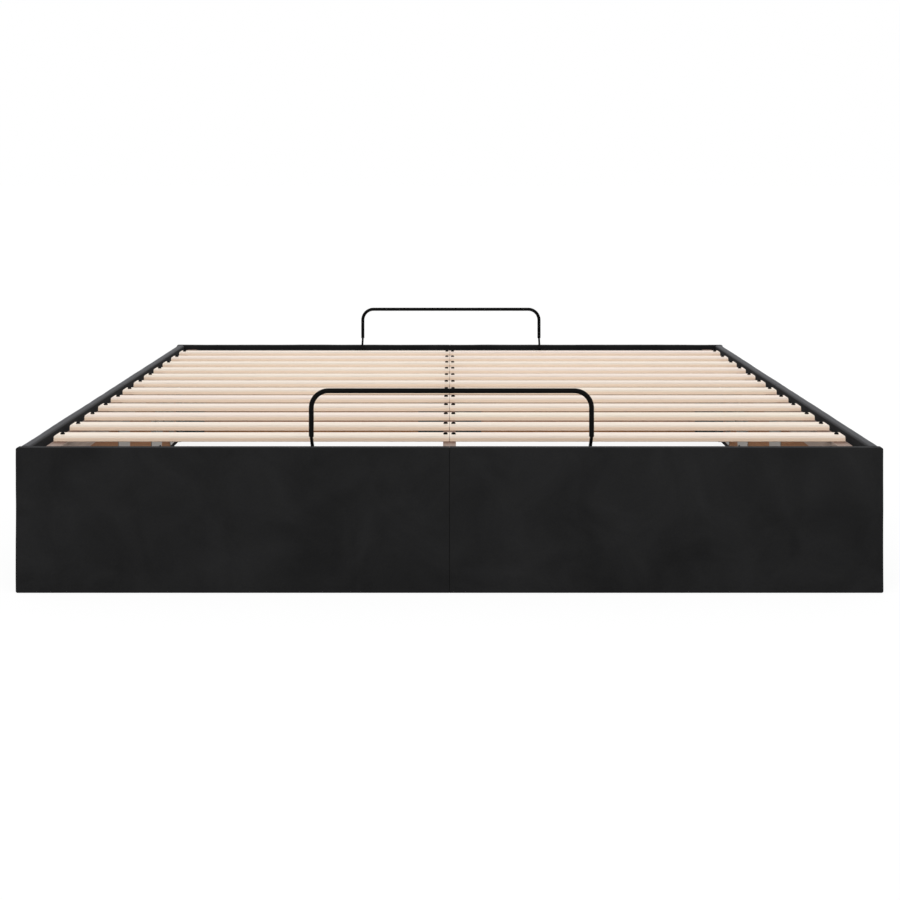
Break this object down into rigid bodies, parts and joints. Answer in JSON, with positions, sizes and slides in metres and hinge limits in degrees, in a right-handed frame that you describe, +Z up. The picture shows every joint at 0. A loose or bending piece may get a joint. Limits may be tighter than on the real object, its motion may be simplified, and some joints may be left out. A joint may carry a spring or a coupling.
{
  "type": "ottoman bed frame",
  "caption": "Low ottoman bed frame with velvet-covered walls and a slatted platform that lifts from the foot on gas-sprung arms.",
  "frame": {"origin": "on the floor, at the middle of the bed's plan", "axes": "+X to the right seen from the foot, +Y from the foot to the head, +Z up"},
  "size_m": [1.824, 2.03, 0.4296],
  "materials": {
    "velvet": "short-pile black velvet over thin foam",
    "raw_board": "raw brown particle board",
    "slat_wood": "pale planed birch",
    "beam_wood": "planed softwood",
    "black_wood": "black lacquered softwood",
    "black_steel": "black powder coat",
    "zinc_steel": "zinc-plated",
    "spring_black": "black gloss paint",
    "chromed_rod": "polished"
  },
  "bodies": {
    "bed_frame": {"corner_bracket_foot_left": "black_steel", "corner_bracket_foot_right": "black_steel", "corner_bracket_head_left": "black_steel", "corner_bracket_head_right": "black_steel", "foot_board_left": "raw_board", "foot_board_right": "raw_board", "foot_cover_left": "velvet", "foot_cover_right": "velvet", "head_board_left": "raw_board", "head_board_right": "raw_board", "head_cover_left": "velvet", "head_cover_right": "velvet", "lift_base_plate_left": "zinc_steel", "lift_base_plate_right": "zinc_steel", "panel_plate_foot": "black_steel", "panel_plate_head": "black_steel", "rail_board_left_foot": "raw_board", "rail_board_left_head": "raw_board", "rail_board_right_foot": "raw_board", "rail_board_right_head": "raw_board", "rail_cover_left_foot": "velvet", "rail_cover_left_head": "velvet", "rail_cover_right_foot": "velvet", "rail_cover_right_head": "velvet", "rail_plate_left": "zinc_steel", "rail_plate_right": "zinc_steel", "rest_block_left": "beam_wood", "rest_block_right": "beam_wood", "wall_screws": "black_steel"},
    "rear_arms": {"lift_rear_arm_left": "zinc_steel", "lift_rear_arm_right": "zinc_steel"},
    "platform": {"cross_beam_foot": "black_wood", "cross_beam_head": "black_wood", "lift_top_plate_left": "zinc_steel", "lift_top_plate_right": "zinc_steel", "mattress_stop_foot": "black_steel", "mattress_stop_head": "black_steel", "middle_beam": "beam_wood", "platform_screws": "black_steel", "side_beam_left": "beam_wood", "side_beam_right": "beam_wood", "slat_bolts": "black_steel", "slat_row_01": "slat_wood", "slat_row_02": "slat_wood", "slat_row_03": "slat_wood", "slat_row_04": "slat_wood", "slat_row_05": "slat_wood", "slat_row_06": "slat_wood", "slat_row_07": "slat_wood", "slat_row_08": "slat_wood", "slat_row_09": "slat_wood", "slat_row_10": "slat_wood", "slat_row_11": "slat_wood", "slat_row_12": "slat_wood"},
    "front_arms": {"lift_front_arm_left": "zinc_steel", "lift_front_arm_right": "zinc_steel"},
    "spring_cylinders": {"gas_spring_cylinder_left": "spring_black", "gas_spring_cylinder_right": "spring_black"},
    "spring_rods": {"gas_spring_rod_left": "chromed_rod", "gas_spring_rod_right": "chromed_rod"}
  },
  "joints": [
    {"name": "rear_arm_swing", "type": "hinge", "parent": "bed_frame", "child": "rear_arms", "pos_m": [0, 0.726, 0.1811], "axis": [1, 0, 0], "range_deg": [0, 28.84]},
    {"name": "platform_tilt", "type": "hinge", "parent": "rear_arms", "child": "platform", "pos_m": [0, 0.9223, 0.2322], "axis": [-1, 0, 0], "range_deg": [0, 63.85]},
    {"name": "front_arm_swing", "type": "hinge", "parent": "bed_frame", "child": "front_arms", "pos_m": [0, 0.4339, 0.1165], "axis": [1, 0, 0], "range_deg": [0, 16.51]},
    {"name": "spring_cylinder_swing", "type": "hinge", "parent": "bed_frame", "child": "spring_cylinders", "pos_m": [0, 0.76254, 0.0305], "axis": [1, 0, 0], "range_deg": [0, 8.26]},
    {"name": "spring_rod_swing", "type": "hinge", "parent": "front_arms", "child": "spring_rods", "pos_m": [0, 0.75462, 0.2285], "axis": [-1, 0, 0], "range_deg": [0, 8.26]}
  ],
  "couplings": [
    {"joint": "platform_tilt", "follows": "rear_arm_swing", "ratio": 2.2136},
    {"joint": "front_arm_swing", "follows": "rear_arm_swing", "ratio": 0.57212},
    {"joint": "spring_cylinder_swing", "follows": "rear_arm_swing", "ratio": 0.28606},
    {"joint": "spring_rod_swing", "follows": "rear_arm_swing", "ratio": 0.28606}
  ]
}
